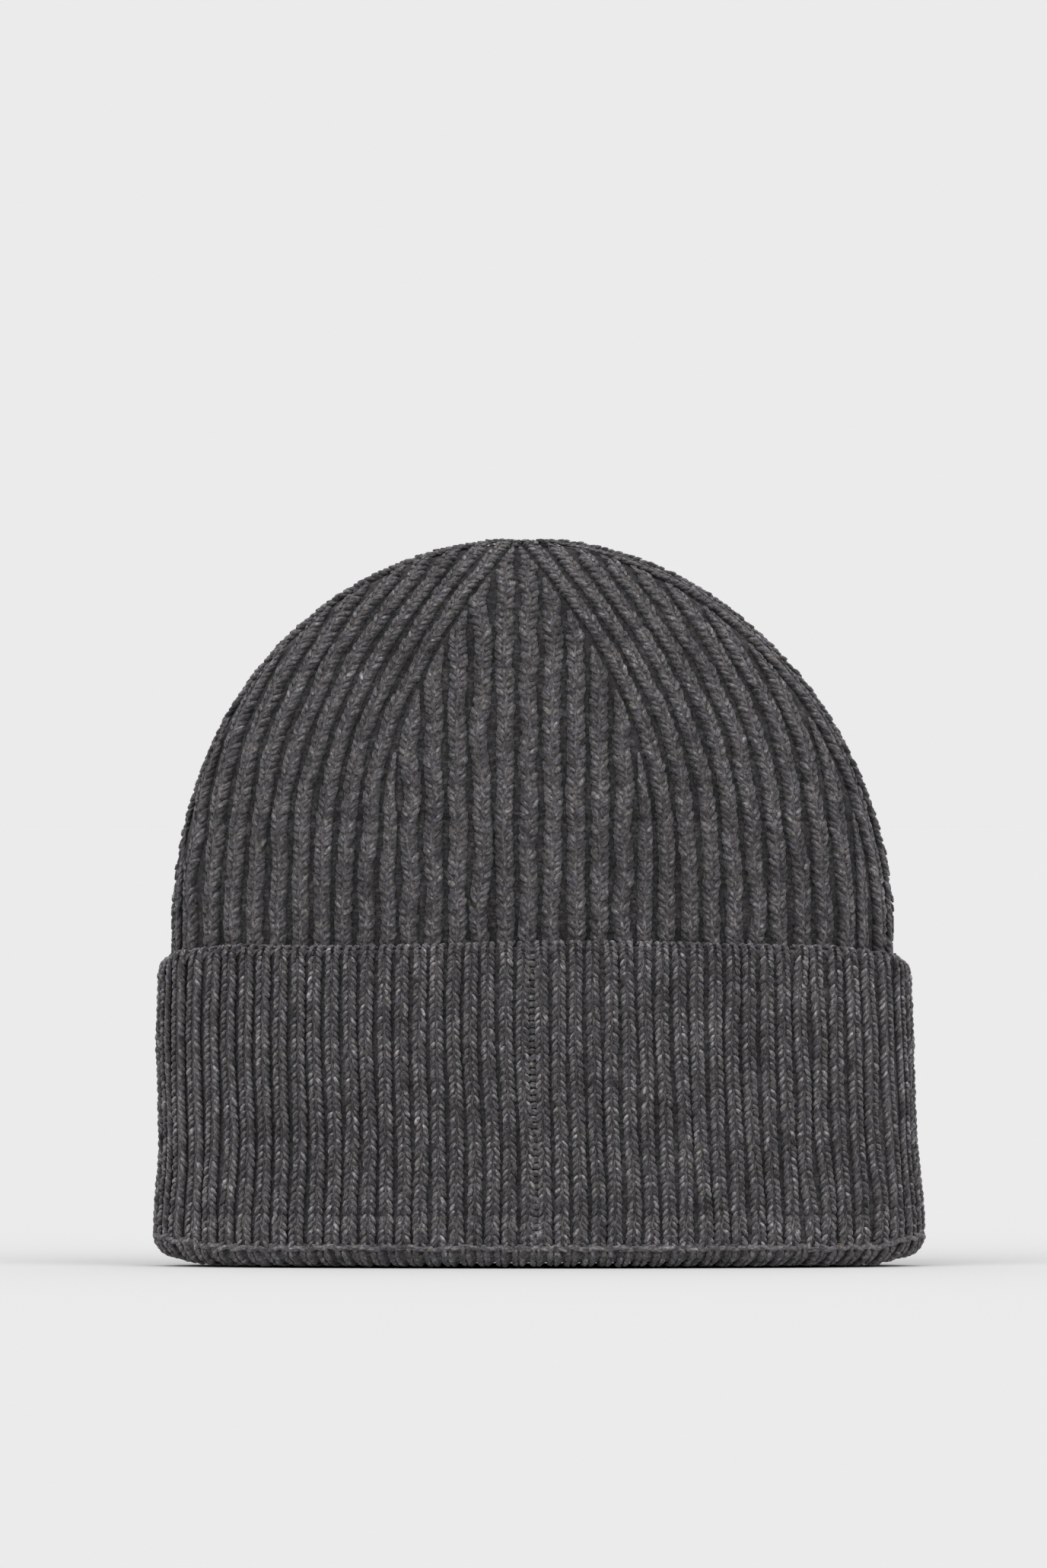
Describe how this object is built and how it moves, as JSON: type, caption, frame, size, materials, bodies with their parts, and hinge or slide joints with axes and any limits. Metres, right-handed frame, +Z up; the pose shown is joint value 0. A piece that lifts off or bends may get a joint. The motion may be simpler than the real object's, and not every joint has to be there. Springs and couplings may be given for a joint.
{
  "type": "knit beanie",
  "caption": "Close-fitting ribbed wool knit cap with a turned-up cuff that unrolls, a darted crown and an open oval mouth.",
  "frame": {"origin": "middle of the open mouth, on the plane that the folded cuff rests on", "axes": "+Z up to the crown, X across the flat width, -Y the side with the centre seam"},
  "size_m": [0.2202, 0.0772, 0.2064],
  "materials": {
    "crown_knit": "matte",
    "cuff_knit": "matte",
    "seam_yarn": "matte",
    "label_tape": "satin",
    "label_thread": "satin"
  },
  "bodies": {
    "crown": {"body_tube": "crown_knit", "gore_back_right": "crown_knit", "gore_back": "crown_knit", "gore_back_left": "crown_knit", "gore_front_left": "crown_knit", "gore_front": "crown_knit", "gore_front_right": "crown_knit", "dart_seam_right": "seam_yarn", "dart_seam_back_right": "seam_yarn", "dart_seam_back_left": "seam_yarn", "dart_seam_left": "seam_yarn", "dart_seam_front_left": "seam_yarn", "dart_seam_front_right": "seam_yarn", "crown_gather": "crown_knit", "body_seam": "seam_yarn", "care_label": "label_tape", "label_tacks": "label_thread"},
    "fold": {"brim_fold": "cuff_knit", "fold_course": "seam_yarn", "cuff_panel": "cuff_knit", "cuff_seam": "cuff_knit"},
    "hem": {"cuff_edge": "cuff_knit"}
  },
  "joints": [
    {"name": "cuff_unroll", "type": "slide", "parent": "fold", "child": "crown", "axis": [0, 0, 1], "range_m": [0, 0.03]},
    {"name": "edge_drop", "type": "slide", "parent": "fold", "child": "hem", "axis": [0, 0, -1], "range_m": [0, 0.03], "deforming": ["cuff_panel", "cuff_seam"]}
  ],
  "couplings": [
    {"joint": "edge_drop", "follows": "cuff_unroll", "ratio": 1}
  ]
}
